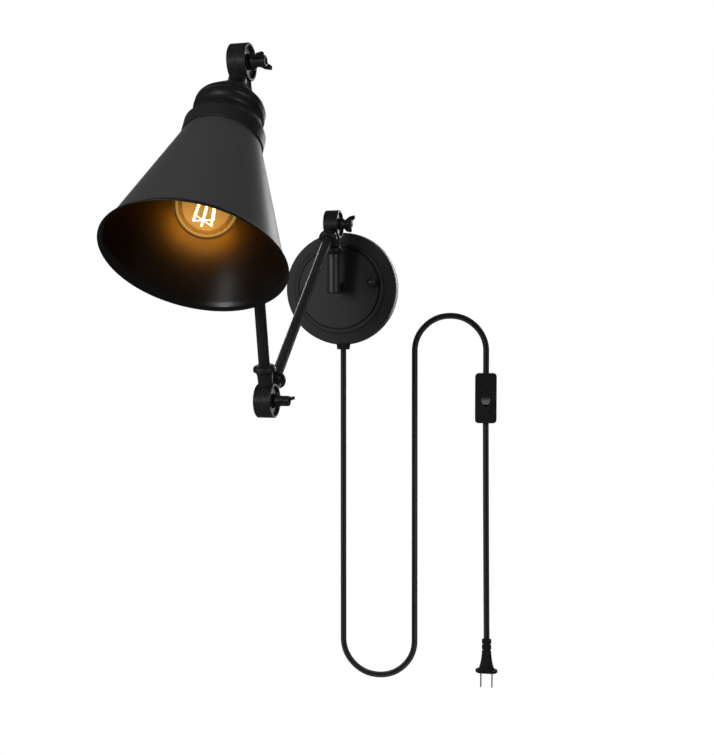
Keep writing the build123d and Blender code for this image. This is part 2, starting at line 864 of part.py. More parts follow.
def switch_cover():
    """Front half with the rocker's oval opening, its axle lugs and two screw posts."""
    cover = switch_half(switch_seam, switch_front, -1)
    inside = switch_front - switch_wall
    lug_middle = rocker_width / 2 + rocker_gap + axle_lug / 2
    lug = Box(axle_lug, axle_lug_width, axle_lug_depth + 2 * axle_lug_bite)
    for side in (-1, 1):
        cover += Pos(side * lug_middle, 0, inside - axle_lug_depth / 2 + axle_lug_bite) * lug
    for place in screw_places():
        cover += place * rod(switch_post_radius, switch_seam, switch_front - 1)
        cover -= place * rod(switch_screw_radius, switch_seam - 1, inside)
    opening = Ellipse(rocker_width / 2 + rocker_gap, rocker_length / 2 + rocker_gap)
    cover -= Pos(0, 0, inside - axle_lug_depth - 1) * extrude(opening, switch_depth)
    bore_end = lug_middle * axle_bore_reach
    bore = rod_x(axle_radius + running_clearance, -bore_end, bore_end)
    return switch_frame * (cover - Pos(0, 0, axle_height) * bore)


def switch_screws():
    screw = rod(switch_screw_radius, switch_back + switch_shank_start, switch_front - switch_wall - 1)
    head_radius = switch_screw_head - switch_head_clearance
    screw += rod(head_radius, switch_back + switch_head_sink, switch_back + switch_wall)
    return switch_frame * group([place * screw for place in screw_places()])


def switch_rocker():
    """Oval rocker whose ends follow the axle's arc, with a hollow finger face."""
    high = switch_front + rocker_rise
    low = axle_height - rocker_depth
    body = Pos(0, 0, low) * extrude(Ellipse(rocker_width / 2, rocker_length / 2), high - low)
    body &= Pos(0, 0, axle_height) * rod_x(rocker_length / 2, -rocker_width, rocker_width)
    dish_middle = high + rocker_dish - rocker_dish_depth
    body -= Pos(0, 0, dish_middle) * rod_x(rocker_dish, -rocker_width, rocker_width)
    axle_end = rocker_width / 2 + rocker_gap + axle_in_lug
    body += Pos(0, 0, axle_height) * rod_x(axle_radius, -axle_end, axle_end)
    lever = Pos(0, 0, axle_height) * Rot(-rocker_tilt, 0, 0) * Pos(0, 0, -axle_height)
    return switch_frame * lever * body


def switch_terminals():
    """Brass blocks that take the cord's conductors, on the floor of the base."""
    floor = switch_back + switch_wall
    block = Pos(0, 0, floor + terminal_height / 2) * Box(terminal_width, terminal_length, terminal_height)
    across = (-terminal_width, terminal_width)
    along = (-terminal_reach, terminal_reach)
    places = [Pos(x, y, 0) for x in across for y in along]
    return switch_frame * group([place * block for place in places])


# ---------- plug ----------

plug_frame = Plane(origin=(plug_center_x, cord_plane, 0), x_dir=(1, 0, 0), z_dir=(0, 0, 1))


def plug_slab(low, high, half_width, half_depth):
    return Pos(0, 0, low) * extrude(stadium(half_width, half_depth), high - low)


def blade_pair(low, high):
    blade = Pos(0, 0, (low + high) / 2) * Box(blade_thickness, blade_width, high - low)
    return [Pos(side * blade_spacing / 2, 0, 0) * blade for side in (-1, 1)]


def plug_body():
    """Moulded plug: ribbed strain relief, waisted grip and a flange round the blades."""
    relief = plug_relief_top - plug_body_top
    rib = (relief - (plug_rib_count - 1) * plug_groove) / plug_rib_count
    body = plug_slab(plug_body_top, plug_relief_top - 0.5, plug_core_half, plug_core_depth)
    for i in range(plug_rib_count):
        top = plug_relief_top - i * (rib + plug_groove)
        body += plug_slab(top - rib, top, plug_rib_half, plug_rib_depth)
    grip = loft([
        Pos(0, 0, plug_flange_top) * stadium(plug_skirt_half, plug_skirt_depth),
        Pos(0, 0, plug_body_top - plug_waist_drop) * stadium(plug_waist_half, plug_waist_depth),
        Pos(0, 0, plug_body_top) * stadium(plug_shoulder_half, plug_shoulder_depth),
    ])
    flange = plug_slab(plug_face, plug_flange_top, plug_flange_half, plug_flange_depth)
    flange = fillet(flange.edges().filter_by(Plane.XY), plug_flange_edge)
    body = body + grip + flange
    for root in blade_pair(plug_face - 1, plug_face + blade_root):
        body -= root
    return plug_frame * body


def plug_blades():
    tip = plug_face - blade_length
    blades = []
    for blade in blade_pair(tip, plug_face + blade_root):
        blade = chamfer(blade.faces().sort_by(Axis.Z)[0].edges().filter_by(Axis.X), blade_thickness * 0.8)
        hole = Pos(0, 0, tip + blade_hole_from_tip) * rod_x(blade_hole_radius, -blade_spacing, blade_spacing)
        blades.append(blade - hole)
    return plug_frame * group(blades)


# ---------- shade head ----------

flange_face = shade_top - holder_flange_thickness
shade_inner_face = shade_top + shade_wall
nipple_end = holder_top + holder_neck_grip
shade_slope = (shade_edge_radius - shade_top_radius) / (shade_edge - shade_top)
band_bore = shade_top_radius + shade_slope * (band_bottom - shade_top) + slip_clearance
band_radius = band_bore + band_wall
skirt_radius = band_bore - slip_clearance


def flare():
    """Trumpet foot of the head's knuckle: neck, cone and rounded rim, hollow underneath."""
    cone_slope = (flare_radius - head_neck_radius) / (flare_cone_end - flare_cone_start)
    side_shift = flare_wall * math.hypot(1, cone_slope)

    def under_cone(radius):
        return flare_cone_start + (radius + side_shift - head_neck_radius) / cone_slope

    inner_rim = flare_radius - flare_wall
    floor_radius = head_neck_radius + (flare_floor - flare_cone_start) * cone_slope - side_shift
    outer = FilletPolyline(
        (head_neck_radius, 0, head_neck_end),
        (head_neck_radius, 0, flare_cone_start),
        (flare_radius, 0, flare_cone_end),
        (flare_radius, 0, flare_edge - rim_break),
        radius=[flare_throat_round, flare_shoulder_round],
    )
    inner = FilletPolyline(
        (inner_rim, 0, flare_edge),
        (inner_rim, 0, under_cone(inner_rim)),
        (floor_radius, 0, flare_floor),
        (nipple_radius, 0, flare_floor),
        radius=[flare_shoulder_round - flare_wall, flare_floor_round],
    )
    rim = Polyline(outer @ 1, (flare_radius - rim_break, 0, flare_edge), inner @ 0)
    core = Polyline(inner @ 1, (0, 0, flare_floor), (0, 0, head_neck_end), outer @ 0)
    return revolve(make_face([outer, rim, inner, core]), Axis.Z)


def head_knuckle():
    """Casting that joins the upper arm to the shade's cap: drum half, neck and flare."""
    neck = neck_loft(head_neck_wide, head_neck_end, head_neck_radius) + flare() - other_half_space()
    body = drum_half() + neck - cable_bore(nipple_seat)
    body -= rod(nipple_radius, nipple_seat, flare_floor + cut_margin)
    return head_frame * mirror(body, about=Plane.YZ)


def cap_form(inset):
    """The cap as a solid, its bead, waist and skirt moved inwards by the inset."""
    top = flare_edge + inset
    bead = ThreePointArc(
        (cap_edge_radius - inset, 0, top),
        (bead_radius - inset, 0, bead_widest),
        (waist_radius - inset, 0, waist_top),
    )
    skirt = FilletPolyline(
        bead @ 1,
        (waist_radius - inset, 0, waist_low),
        (skirt_radius - inset, 0, skirt_spread),
        (skirt_radius - inset, 0, skirt_end + inset),
        radius=[waist_round + inset, skirt_round - inset],
    )
    core = Polyline(skirt @ 1, (0, 0, skirt_end + inset), (0, 0, top), bead @ 0)
    return revolve(make_face([bead, skirt, core]), Axis.Z)


def shade_cap():
    """Spun cap: flat top under the flare, round bead, drawn waist and a skirt for the band."""
    nipple_hole = rod(nipple_radius + slip_clearance, flare_edge - cut_margin, skirt_end)
    return head_frame * (cap_form(0) - cap_form(cap_wall) - nipple_hole)


def shade_band():
    """Band that slips over the cap's skirt and covers the shade's neck."""
    band = rod(band_radius, band_top, band_bottom)
    band = fillet(band.edges().filter_by(GeomType.CIRCLE), band_edge)
    return head_frame * (band - rod(band_bore, band_top - cut_margin, band_bottom + cut_margin))


def shade():
    """Spun steel cone with an inward neck flange and a rolled-out lip."""
    outer = [
        (holder_radius + shade_hole_gap, shade_top),
        (shade_top_radius - shade_corner, shade_top),
        (shade_top_radius + shade_slope * shade_corner, shade_top + shade_corner),
        (shade_edge_radius, shade_edge),
        (shade_edge_radius + lip_knee_reach, shade_edge + lip_knee_drop),
        (shade_edge_radius + lip_reach, shade_edge + lip_drop),
    ]
    return head_frame * spun_shell(outer, shade_wall)


def head_nipple():
    return head_frame * tube(nipple_radius, nipple_bore, nipple_seat, nipple_end)


def head_nut():
    seat = flare_edge + cap_wall
    return head_frame * hex_nut(nut_across, nipple_radius, seat, seat + nut_thickness)


def head_wires():
    gap = wire_radius + slip_clearance
    lead = rod(wire_radius, nipple_seat + wire_radius, holder_well - wire_radius)
    return head_frame * group([Pos(side * gap, 0, 0) * lead for side in (-1, 1)])


# ---------- lamp holder and bulb ----------

shell_bore = base_radius + running_clearance


def lamp_holder():
    """Insulating holder: neck on the nipple, flange above the shade, threaded barrel below."""
    body = turned([
        (0, holder_top),
        (holder_neck_radius - holder_edge, holder_top),
        (holder_neck_radius, holder_top + holder_edge),
        (holder_neck_radius, flange_face),
        (holder_flange_radius, flange_face),
        (holder_flange_radius, shade_top),
        (holder_radius, shade_top),
        (holder_radius, holder_mouth - holder_edge),
        (holder_radius - holder_edge, holder_mouth),
        (0, holder_mouth),
    ])
    body -= rod(nipple_radius, holder_top - cut_margin, nipple_end)
    body -= rod(nipple_bore, holder_top, holder_well)
    well = rod(shell_bore + shell_wall + slip_clearance, holder_well, holder_mouth + cut_margin)
    return head_frame * (body - well)


def clamp_ring():
    """Notched ring on the holder's thread that clamps the shade's flange."""
    low = shade_inner_face
    ring = tube(clamp_ring_radius, holder_radius + slip_clearance, low, low + clamp_ring_height)
    cutter = Box(2 * clamp_notch_depth, clamp_notch_width, clamp_ring_height)
    notch = Pos(clamp_ring_radius, 0, low + clamp_ring_height / 2 + clamp_ring_flange) * cutter
    for i in range(clamp_ring_notches):
        ring -= Rot(0, 0, i * 360 / clamp_ring_notches) * notch
    return head_frame * ring


def socket_shell():
    return head_frame * tube(shell_bore + shell_wall, shell_bore, shell_top, shell_bottom)


def socket_contact():
    """Centre contact: a disc on the well's floor and a raised pip."""
    leaf = rod(contact_radius, holder_well, holder_well + contact_leaf)
    pip = rod(contact_radius * 0.5, holder_well, bulb_button_top)
    return head_frame * (leaf + pip)


def bulb_base():
    return head_frame * tube(base_radius, base_radius - base_wall, base_top, base_bottom)


def bulb_tip():
    """Insulating plug in the end of the base, with the contact button on it."""
    inner = base_radius - base_wall
    return head_frame * turned([
        (0, bulb_button_top),
        (bulb_button_radius, bulb_button_top),
        (bulb_button_radius, insulator_top),
        (bulb_button_radius + 1.0, insulator_top),
        (inner, base_top + 0.2),
        (inner, base_top + insulator_depth),
        (0, base_top + insulator_depth),
    ])


def bulb_envelope(radius, neck, blend):
    """Globe and neck as one solid of revolution, blended where they meet."""
    solid = rod(neck, glass_neck_start, globe_center - radius * 0.7)
    solid += Pos(0, 0, globe_center) * Sphere(radius)
    seam = solid.edges().filter_by(GeomType.CIRCLE).sort_by(Axis.Z)
    joint = [e for e in seam if e.center().Z > base_bottom - 2 and abs(e.radius - neck) < 0.01]
    return fillet(joint, blend)


glass_neck_radius = base_radius - base_wall - slip_clearance


def bulb_glass():
    outer = bulb_envelope(globe_radius, glass_neck_radius, glass_neck_blend)
    inner = bulb_envelope(globe_radius - glass_wall, glass_neck_radius - glass_wall,
                          glass_neck_blend + glass_wall)
    inner_neck = rod(glass_neck_radius - glass_wall, glass_neck_start - 1, glass_neck_start + 1)
    return head_frame * (outer - inner - inner_neck)


def bulb_mount():
    """Pressed glass mount: a disc sealed in the neck, a stalk and a thin centre support."""
    disc = rod(glass_neck_radius - glass_wall, stem_press_start, stem_press_start + stem_disc_thickness)
    stalk = rod(stem_press_radius, stem_press_start, stem_press_end)
    return head_frame * (disc + stalk + rod(support_radius, stem_press_end - 1, filament_bottom + 1))


def bulb_filaments():
    """Cage of straight filaments, with short arms from the mount to both ends of each."""
    pieces = []
    for i in range(filament_count):
        turn = math.radians(i * 360 / filament_count)
        high_x = filament_circle_top * math.cos(turn)
        high_y = filament_circle_top * math.sin(turn)
        top = Vector(high_x, high_y, filament_top)
        low_x = filament_circle_bottom * math.cos(turn)
        low_y = filament_circle_bottom * math.sin(turn)
        bottom = Vector(low_x, low_y, filament_bottom)
        line = bottom - top
        strand = Plane(origin=top, z_dir=line) * rod(filament_radius, 0, line.length)
        for end in (top, bottom):
            arm = Plane(origin=(0, 0, end.Z), z_dir=(end.X, end.Y, 0)) * rod(
                filament_radius * 0.5, support_radius, math.hypot(end.X, end.Y))
            strand += arm
        pieces.append(strand)
    return head_frame * group(pieces)


# ---------- every node ----------

nodes = {
    "mounting_bracket": mounting_bracket(),
    "canopy": canopy(),
    "canopy_studs": canopy_studs(),
    "cap_nuts": cap_nuts(),
    "swivel_barrel": swivel_barrel(),
    "stem_nipple": stem_nipple(),
    "nipple_nut": nipple_nut(),
    "barrel_end_cap": barrel_end_cap(),
    "cord_gland": cord_gland(),
    "gland_nut": gland_nut(),
    "canopy_wires": canopy_wires(),
    "cord_lead": flat_cord("cord_lead", cord_route_lead),
    "switch_base": switch_base(),
    "switch_cover": switch_cover(),
    "switch_screws": switch_screws(),
    "switch_terminals": switch_terminals(),
    "switch_rocker": switch_rocker(),
    "cord_tail": flat_cord("cord_tail", cord_route_tail),
    "plug_body": plug_body(),
    "plug_blades": plug_blades(),
    "thrust_washer": thrust_washer(),
    "swivel_pin": swivel_pin(),
    "pin_nut": pin_nut(),
    "swivel_post": post_frame * knuckle(1),
    "lower_arm_rear_knuckle": lower_rear_frame * knuckle(-1),
    "lower_arm_tube": arm_tube(lower_rear_frame),
    "lower_arm_front_knuckle": lower_front_frame * knuckle(1),
    "lower_arm_wires": arm_wires(lower_rear_frame),
    "lower_pivot_screw": pivot_screw(lower_rear_frame),
    "lower_friction_ring": friction_ring(lower_rear_frame),
    "lower_spring_washer": spring_washer(lower_rear_frame),
    "lower_wing_nut": wing_nut(lower_rear_frame, lower_wing_turn),
    "upper_arm_low_knuckle": upper_low_frame * knuckle(-1),
    "upper_arm_tube": arm_tube(upper_low_frame),
    "upper_arm_high_knuckle": upper_high_frame * knuckle(1),
    "upper_arm_wires": arm_wires(upper_low_frame),
    "elbow_pivot_screw": pivot_screw(upper_low_frame),
    "elbow_friction_ring": friction_ring(upper_low_frame),
    "elbow_spring_washer": spring_washer(upper_low_frame),
    "elbow_wing_nut": wing_nut(upper_low_frame, elbow_wing_turn),
    "head_knuckle": head_knuckle(),
    "shade_pivot_screw": pivot_screw(head_frame),
    "shade_friction_ring": friction_ring(head_frame),
    "shade_spring_washer": spring_washer(head_frame),
    "shade_wing_nut": wing_nut(head_frame, shade_wing_turn),
    "shade_cap": shade_cap(),
    "shade_band": shade_band(),
    "shade": shade(),
    "head_nipple": head_nipple(),
    "head_nut": head_nut(),
    "head_wires": head_wires(),
    "lamp_holder": lamp_holder(),
    "clamp_ring": clamp_ring(),
    "socket_shell": socket_shell(),
    "socket_contact": socket_contact(),
    "bulb_base": bulb_base(),
    "bulb_tip": bulb_tip(),
    "bulb_glass": bulb_glass(),
    "bulb_mount": bulb_mount(),
    "bulb_filaments": bulb_filaments(),
}

os.makedirs("parts", exist_ok=True)
for name, solid in nodes.items():
    export_step(solid, f"parts/{name}.step")
print(len(nodes), "nodes")
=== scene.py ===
import json
import math

import bmesh
import bpy
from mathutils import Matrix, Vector


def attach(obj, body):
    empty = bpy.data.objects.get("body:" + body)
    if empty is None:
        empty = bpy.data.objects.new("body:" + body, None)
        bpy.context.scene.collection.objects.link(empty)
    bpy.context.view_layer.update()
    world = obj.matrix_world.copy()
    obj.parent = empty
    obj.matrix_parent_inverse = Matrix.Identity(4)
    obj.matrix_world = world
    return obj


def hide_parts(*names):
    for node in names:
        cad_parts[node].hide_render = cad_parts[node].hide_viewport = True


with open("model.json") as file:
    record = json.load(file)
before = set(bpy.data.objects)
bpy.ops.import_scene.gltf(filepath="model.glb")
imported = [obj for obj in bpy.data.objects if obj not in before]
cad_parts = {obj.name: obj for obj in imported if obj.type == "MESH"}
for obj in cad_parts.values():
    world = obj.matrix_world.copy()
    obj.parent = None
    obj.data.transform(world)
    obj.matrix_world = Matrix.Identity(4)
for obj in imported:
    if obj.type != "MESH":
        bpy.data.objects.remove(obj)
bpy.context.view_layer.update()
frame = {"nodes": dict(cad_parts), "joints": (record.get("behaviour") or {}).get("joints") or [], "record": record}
print("frame loaded:", len(frame["nodes"]), "nodes")

# how the shade hangs at rest: the arms' turn about the post and the shade's dip, degrees
headPose = {"turn": 5.3, "dip": 59.1}
turn, dip = math.radians(headPose["turn"]), math.radians(headPose["dip"])
shadeAxis = Vector((-math.sin(turn) * math.cos(dip), -math.cos(turn) * math.cos(dip), -math.sin(dip)))
shadePivot = Vector(next(j["pos_m"] for j in frame["joints"] if j["name"] == "shade_pivot"))


# a socket that adds its own Math nodes when it is used in an expression
class Value:
    def __init__(self, shader, socket):
        self.shader, self.socket = shader, socket

    def maths(self, operation, first, second):
        return self.shader.maths(operation, first, second)

    def __add__(self, other):
        return self.maths("ADD", self, other)

    def __sub__(self, other):
        return self.maths("SUBTRACT", self, other)

    def __rsub__(self, other):
        return self.maths("SUBTRACT", other, self)

    def __mul__(self, other):
        return self.maths("MULTIPLY", self, other)

    __radd__, __rmul__ = __add__, __mul__


class Shader:
    def __init__(self, name, world=None):
        self.material = world or bpy.data.materials.new(name)
        self.material.use_nodes = True
        self.tree = self.material.node_tree
        self.tree.nodes.clear()

    def node(self, kind, settings=None, values=None, output=0):
        made = self.tree.nodes.new(kind)
        for name, setting in (settings or {}).items():
            setattr(made, name, setting)
        for name, value in (values or {}).items():
            if isinstance(value, Value):
                self.tree.links.new(value.socket, made.inputs[name])
            elif isinstance(value, tuple) and len(value) == 3 and made.inputs[name].type == "RGBA":
                made.inputs[name].default_value = (*value, 1)
            else:
                made.inputs[name].default_value = value
        return None if output is None else Value(self, made.outputs[output])

    def maths(self, operation, first, second=0.0):
        return self.node("ShaderNodeMath", {"operation": operation}, {0: first, 1: second})

    def place(self):
        return self.node("ShaderNodeTexCoord", output="Object")

    def noise(self, place, scale, detail):
        values = {"Vector": place, "Scale": scale, "Detail": detail}
        return self.node("ShaderNodeTexNoise", {}, values, "Fac")

    def blend(self, factor, first, second):
        return self.node("ShaderNodeMix", {"data_type": "RGBA"}, {0: factor, 6: first, 7: second}, 2)

    def vector(self, operation, first, second, output="Vector"):
        values = {0: first, 1: second}
        return self.node("ShaderNodeVectorMath", {"operation": operation}, values, output)

    def between(self, value, start, end, top=1.0, bottom=0.0):
        values = {"Value": value, "From Min": start, "From Max": end, "To Min": bottom, "To Max": top}
        return self.node("ShaderNodeMapRange", {"interpolation_type": "SMOOTHSTEP"}, values)

    def bump(self, height, strength, depth):
        values = {"Height": height, "Strength": strength, "Distance": depth}
        return self.node("ShaderNodeBump", {}, values, "Normal")

    def finish(self, **sockets):
        names = {"Base": "Base Color", "Specular": "Specular IOR Level", "Glow": "Emission Color",
                 "GlowStrength": "Emission Strength"}
        values = {names.get(name, name): value for name, value in sockets.items()}
        body = self.node("ShaderNodeBsdfPrincipled", {}, values)
        self.node("ShaderNodeOutputMaterial", {}, {"Surface": body}, None)
        return self.material


noiseMiddle = 0.5  # a noise swings about this value
# what all the satin finishes share; each finish below has its own tone, roughness and grain
satin = {"cloudDetail": 3, "grainDetail": 2, "grainRough": 0.06}
finishes = {
    "shadePaint": {
        "dark": (0.024, 0.024, 0.0245), "light": (0.03, 0.03, 0.0305), "rough": 0.38,
        "roughSpread": 0.08, "cloudScale": 16, "grainScale": 1400, "bump": 0.12,
        "bumpDepth": 0.00012, "specular": 0.35,
        # painted shade: the inner wall is nearly black and the hem's outside dark; the hem starts this far along
        # the axis from the pivot
        "inside": {
            "colour": (0.0012, 0.0011, 0.001), "rough": 0.31, "facing": (0.6, 0.45),
            "hemShade": (0.003, 0.003, 0.003), "hemFrom": 0.1915, "hemBlend": 0.001,
        },
    },
    # painted light: the lower arm is painted lighter than the upper arm's armPaint
    "lowerArmLitPaint": {
        "dark": (0.01, 0.01, 0.0102), "light": (0.017, 0.017, 0.0172), "rough": 0.44,
        "roughSpread": 0.1, "cloudScale": 60, "grainScale": 1500, "bump": 0.03,
        "bumpDepth": 0.00012, "specular": 0.35,
    },
    "armPaint": {
        "dark": (0.003, 0.003, 0.0032), "light": (0.009, 0.009, 0.0092), "rough": 0.46,
        "roughSpread": 0.2, "cloudScale": 90, "grainScale": 1500, "bump": 0.08,
        "bumpDepth": 0.00014, "specular": 0.28,
    },
    "castPaint": {
        "dark": (0.0035, 0.0035, 0.0037), "light": (0.0075, 0.0075, 0.0077), "rough": 0.4,
        "roughSpread": 0.16, "cloudScale": 130, "grainScale": 1100, "bump": 0.14,
        "bumpDepth": 0.00014, "specular": 0.45,
    },
    # painted light: the barrel is painted lighter than the cast fittings around it
    "barrelLitPaint": {
        "dark": (0.008, 0.008, 0.0082), "light": (0.011, 0.011, 0.0112), "rough": 0.36,
        "roughSpread": 0.08, "cloudScale": 60, "grainScale": 1300, "bump": 0.03,
        "bumpDepth": 0.0001, "specular": 0.6,
    },
    "capPaint": {
        "dark": (0.003, 0.003, 0.0032), "light": (0.006, 0.006, 0.0062), "rough": 0.43,
        "roughSpread": 0.1, "cloudScale": 30, "grainScale": 1300, "bump": 0.08, "bumpDepth": 0.0001,
        "specular": 0.5,
    },
    "bandPaint": {
        "dark": (0.008, 0.008, 0.0082), "light": (0.012, 0.012, 0.0122), "rough": 0.45,
        "roughSpread": 0.1, "cloudScale": 30, "grainScale": 1300, "bump": 0.1, "bumpDepth": 0.0001,
        "specular": 0.35,
    },
    "nutPaint": {
        "dark": (0.006, 0.006, 0.0062), "light": (0.01, 0.01, 0.0102), "rough": 0.2,
        "roughSpread": 0.06, "cloudScale": 90, "grainScale": 1300, "bump": 0.05,
        "bumpDepth": 0.0001, "specular": 0.6,
    },
    "canopyPaint": {
        "dark": (0.024, 0.024, 0.0245), "light": (0.03, 0.03, 0.0305), "rough": 0.42,
        "roughSpread": 0.08, "cloudScale": 20, "grainScale": 1400, "bump": 0.12,
        "bumpDepth": 0.00012, "specular": 0.25,
        # radius, half width and depth of painted shade in each turned groove; the floor is a share of the half
        "grooveShades": ((0.0466, 0.0013, 0.75), (0.0515, 0.0022, 0.35)),
        "grooveShadeTone": (0.002, 0.002, 0.002), "grooveShadeFloor": 0.3,
    },
    "mouldedBlack": {
        "dark": (0.007, 0.007, 0.007), "light": (0.0105, 0.0105, 0.0105), "rough": 0.6,
        "roughSpread": 0.1, "cloudScale": 60, "grainScale": 2600, "bump": 0.3, "bumpDepth": 0.0001,
        "specular": 0.2,
    },
    "glossBlack": {
        "dark": (0.005, 0.005, 0.005), "light": (0.007, 0.007, 0.007), "rough": 0.25,
        "roughSpread": 0.05, "cloudScale": 80, "grainScale": 900, "bump": 0.03, "bumpDepth": 0.0001,
        "specular": 0.5,
    },
    "cordJacket": {
        "dark": (0.012, 0.012, 0.012), "light": (0.018, 0.018, 0.018), "rough": 0.45,
        "roughSpread": 0.12, "cloudScale": 90, "grainScale": 1800, "bump": 0.2, "bumpDepth": 0.0001,
        "specular": 0.35,
    },
}


def satinBlack(name, look):
    s = Shader(name)
    place = s.place()
    cloud = s.noise(place, look["cloudScale"], satin["cloudDetail"])
    grain = s.noise(place, look["grainScale"], satin["grainDetail"])
    base = s.blend(cloud, look["dark"], look["light"])
    rough = look["rough"] + (cloud - noiseMiddle) * look["roughSpread"]
    rough = rough + (grain - noiseMiddle) * satin["grainRough"]
    if "inside" in look:
        # the inner wall and the hem are the faces that don't look away from the shade's axis; painted shade
        # darkens them, and the hem's outside too
        inside = look["inside"]
        apart = s.vector("SUBTRACT", place, tuple(shadePivot))
        along = s.vector("DOT_PRODUCT", apart, tuple(shadeAxis), "Value")
        onAxis = s.node("ShaderNodeVectorMath", {"operation": "SCALE"},
                        {0: tuple(shadeAxis), "Scale": along})
        outward = s.node("ShaderNodeVectorMath", {"operation": "NORMALIZE"},
                         {0: s.vector("SUBTRACT", apart, onAxis)})
        normal = s.node("ShaderNodeTexCoord", output="Normal")
        innerShade = s.between(s.vector("DOT_PRODUCT", outward, normal, "Value"), *inside["facing"])
        hemShade = s.between(along, inside["hemFrom"], inside["hemFrom"] + inside["hemBlend"])
        base = s.blend(hemShade, base, inside["hemShade"])
        base = s.blend(innerShade, base, inside["colour"])
        rough = rough + innerShade * (inside["rough"] - look["rough"])
    if "grooveShades" in look:
        # painted shade darkens the grooves, which run round the canopy's own axis, the frame's Y
        flat = s.vector("MULTIPLY", place, (1.0, 0.0, 1.0))
        radius = s.node("ShaderNodeVectorMath", {"operation": "LENGTH"}, {0: flat}, "Value")
        for middle, half, shadeDepth in look["grooveShades"]:
            away = s.maths("ABSOLUTE", radius - middle)
            grooveShadeMask = s.between(away, half, half * look["grooveShadeFloor"], shadeDepth)
            base = s.blend(grooveShadeMask, base, look["grooveShadeTone"])
    return s.finish(Base=base, Roughness=rough, Specular=look["specular"],
                    Normal=s.bump(grain, look["bump"], look["bumpDepth"]))


paint = {name: satinBlack(name, look) for name, look in finishes.items()}

cordLook = dict(
    finishes["cordJacket"], dark=(0.024, 0.024, 0.024), light=(0.034, 0.034, 0.034), bump=0.03,
    shadow=(0.006, 0.006, 0.006), valleys=2, valleyEdge=0.55, valleyRough=0.2,
    streaksAround=40.0, streaksAlong=60.0, streakDetail=3)


def cordSkin(name, look):
    s = Shader(name)
    uv = s.node("ShaderNodeUVMap", {"uv_map": "cordUV"})
    around = s.node("ShaderNodeSeparateXYZ", {}, {"Vector": uv}, "X")
    along = s.node("ShaderNodeSeparateXYZ", {}, {"Vector": uv}, "Y")
    # painted shade darkens the two valleys, which lie at the middle and at the seam of the wrap
    wave = s.maths("COSINE", around * (2 * math.pi * look["valleys"]))
    valley = s.between(wave, look["valleyEdge"], 1.0)
    stretched = s.node("ShaderNodeCombineXYZ", {},
                       {"X": around * look["streaksAround"], "Y": along * look["streaksAlong"]})
    streaks = s.noise(stretched, 1.0, look["streakDetail"])
    grain = s.noise(s.place(), look["grainScale"], satin["grainDetail"])
    base = s.blend(valley, s.blend(streaks, look["dark"], look["light"]), look["shadow"])
    rough = look["rough"] + (streaks - noiseMiddle) * look["roughSpread"]
    rough = rough + valley * look["valleyRough"]
    return s.finish(Base=base, Roughness=rough, Specular=look["specular"],
                    Normal=s.bump(grain, look["bump"], look["bumpDepth"]))


paint["cordSkin"] = cordSkin("cordSkin", cordLook)

scratches = {"scale": 60, "detail": 4, "roughSpread": 0.2, "bump": 0.08, "bumpDepth": 0.0001}
metals = {
    "zinc": {"dark": (0.42, 0.43, 0.45), "light": (0.62, 0.63, 0.64), "rough": 0.34,
             "stretch": (30, 30, 4)},
    "brass": {"dark": (0.62, 0.44, 0.17), "light": (0.82, 0.62, 0.28), "rough": 0.3,
              "stretch": (20, 20, 20)},
    "nickel": {"dark": (0.6, 0.59, 0.56), "light": (0.78, 0.77, 0.74), "rough": 0.25,
               "stretch": (40, 40, 4)},
}


def plainMetal(name, look):
    s = Shader(name)
    lines = s.node("ShaderNodeMapping", {}, {"Vector": s.place(), "Scale": look["stretch"]})
    scratch = s.noise(lines, scratches["scale"], scratches["detail"])
    base = s.blend(scratch, look["dark"], look["light"])
    rough = look["rough"] + (scratch - noiseMiddle) * scratches["roughSpread"]
    return s.finish(Base=base, Metallic=1.0, Roughness=rough,
                    Normal=s.bump(scratch, scratches["bump"], scratches["bumpDepth"]))


paint.update({name: plainMetal(name, look) for name, look in metals.items()})

# a pale disc where the glass is looked straight through, then a clear ring, then a dark dense rim; the glow on the
# globe and on the glass mount is painted light from the filaments, as the bulb's own light passes them by
glasses = {
    "globeGlass": {
        "tint": (0.5, 0.38, 0.15), "rimTint": (0.03, 0.017, 0.006), "glow": (1.0, 0.52, 0.1),
        "strength": 1.1, "rim": (0.5, 0.72), "disc": (0.36, 0.3), "ringAlpha": 0.02,
        "discAlpha": 0.08, "rimAlpha": 0.6, "rough": 0.04, "specular": 0.4,
    },
    "mountGlass": {
        "tint": (0.9, 0.9, 0.85), "rimTint": (0.9, 0.75, 0.4), "glow": (1.0, 0.75, 0.35),
        "strength": 1.2, "rim": (0.4, 1.0), "disc": (0.3, 0.1), "ringAlpha": 0.3,
        "discAlpha": 0.3, "rimAlpha": 0.4, "rough": 0.04, "specular": 0.4,
    },
}


def clearGlass(name, look):
    s = Shader(name)
    edge = s.node("ShaderNodeLayerWeight", output="Facing")
    rim = s.between(edge, *look["rim"])
    disc = s.between(edge, *look["disc"])
    base = s.blend(rim, look["tint"], look["rimTint"])
    glow = s.blend(rim, look["glow"], look["rimTint"])
    alpha = look["ringAlpha"] + disc * (look["discAlpha"] - look["ringAlpha"])
    alpha = alpha + rim * look["rimAlpha"]
    return s.finish(Base=base, Roughness=look["rough"], Alpha=alpha, Specular=look["specular"],
                    Glow=glow, GlowStrength=look["strength"])


paint.update({name: clearGlass(name, look) for name, look in glasses.items()})

filamentLook = {"base": (1.0, 0.7, 0.35), "warm": (1.0, 0.6, 0.2), "hot": (1.0, 0.86, 0.55),
                "rough": 0.5, "heatScale": 300, "heatDetail": 2, "strength": 3}


def glowing(name, look):
    s = Shader(name)
    heat = s.noise(s.place(), look["heatScale"], look["heatDetail"])
    glow = s.blend(heat, look["warm"], look["hot"])
    return s.finish(Base=look["base"], Roughness=look["rough"], Glow=glow,
                    GlowStrength=look["strength"])


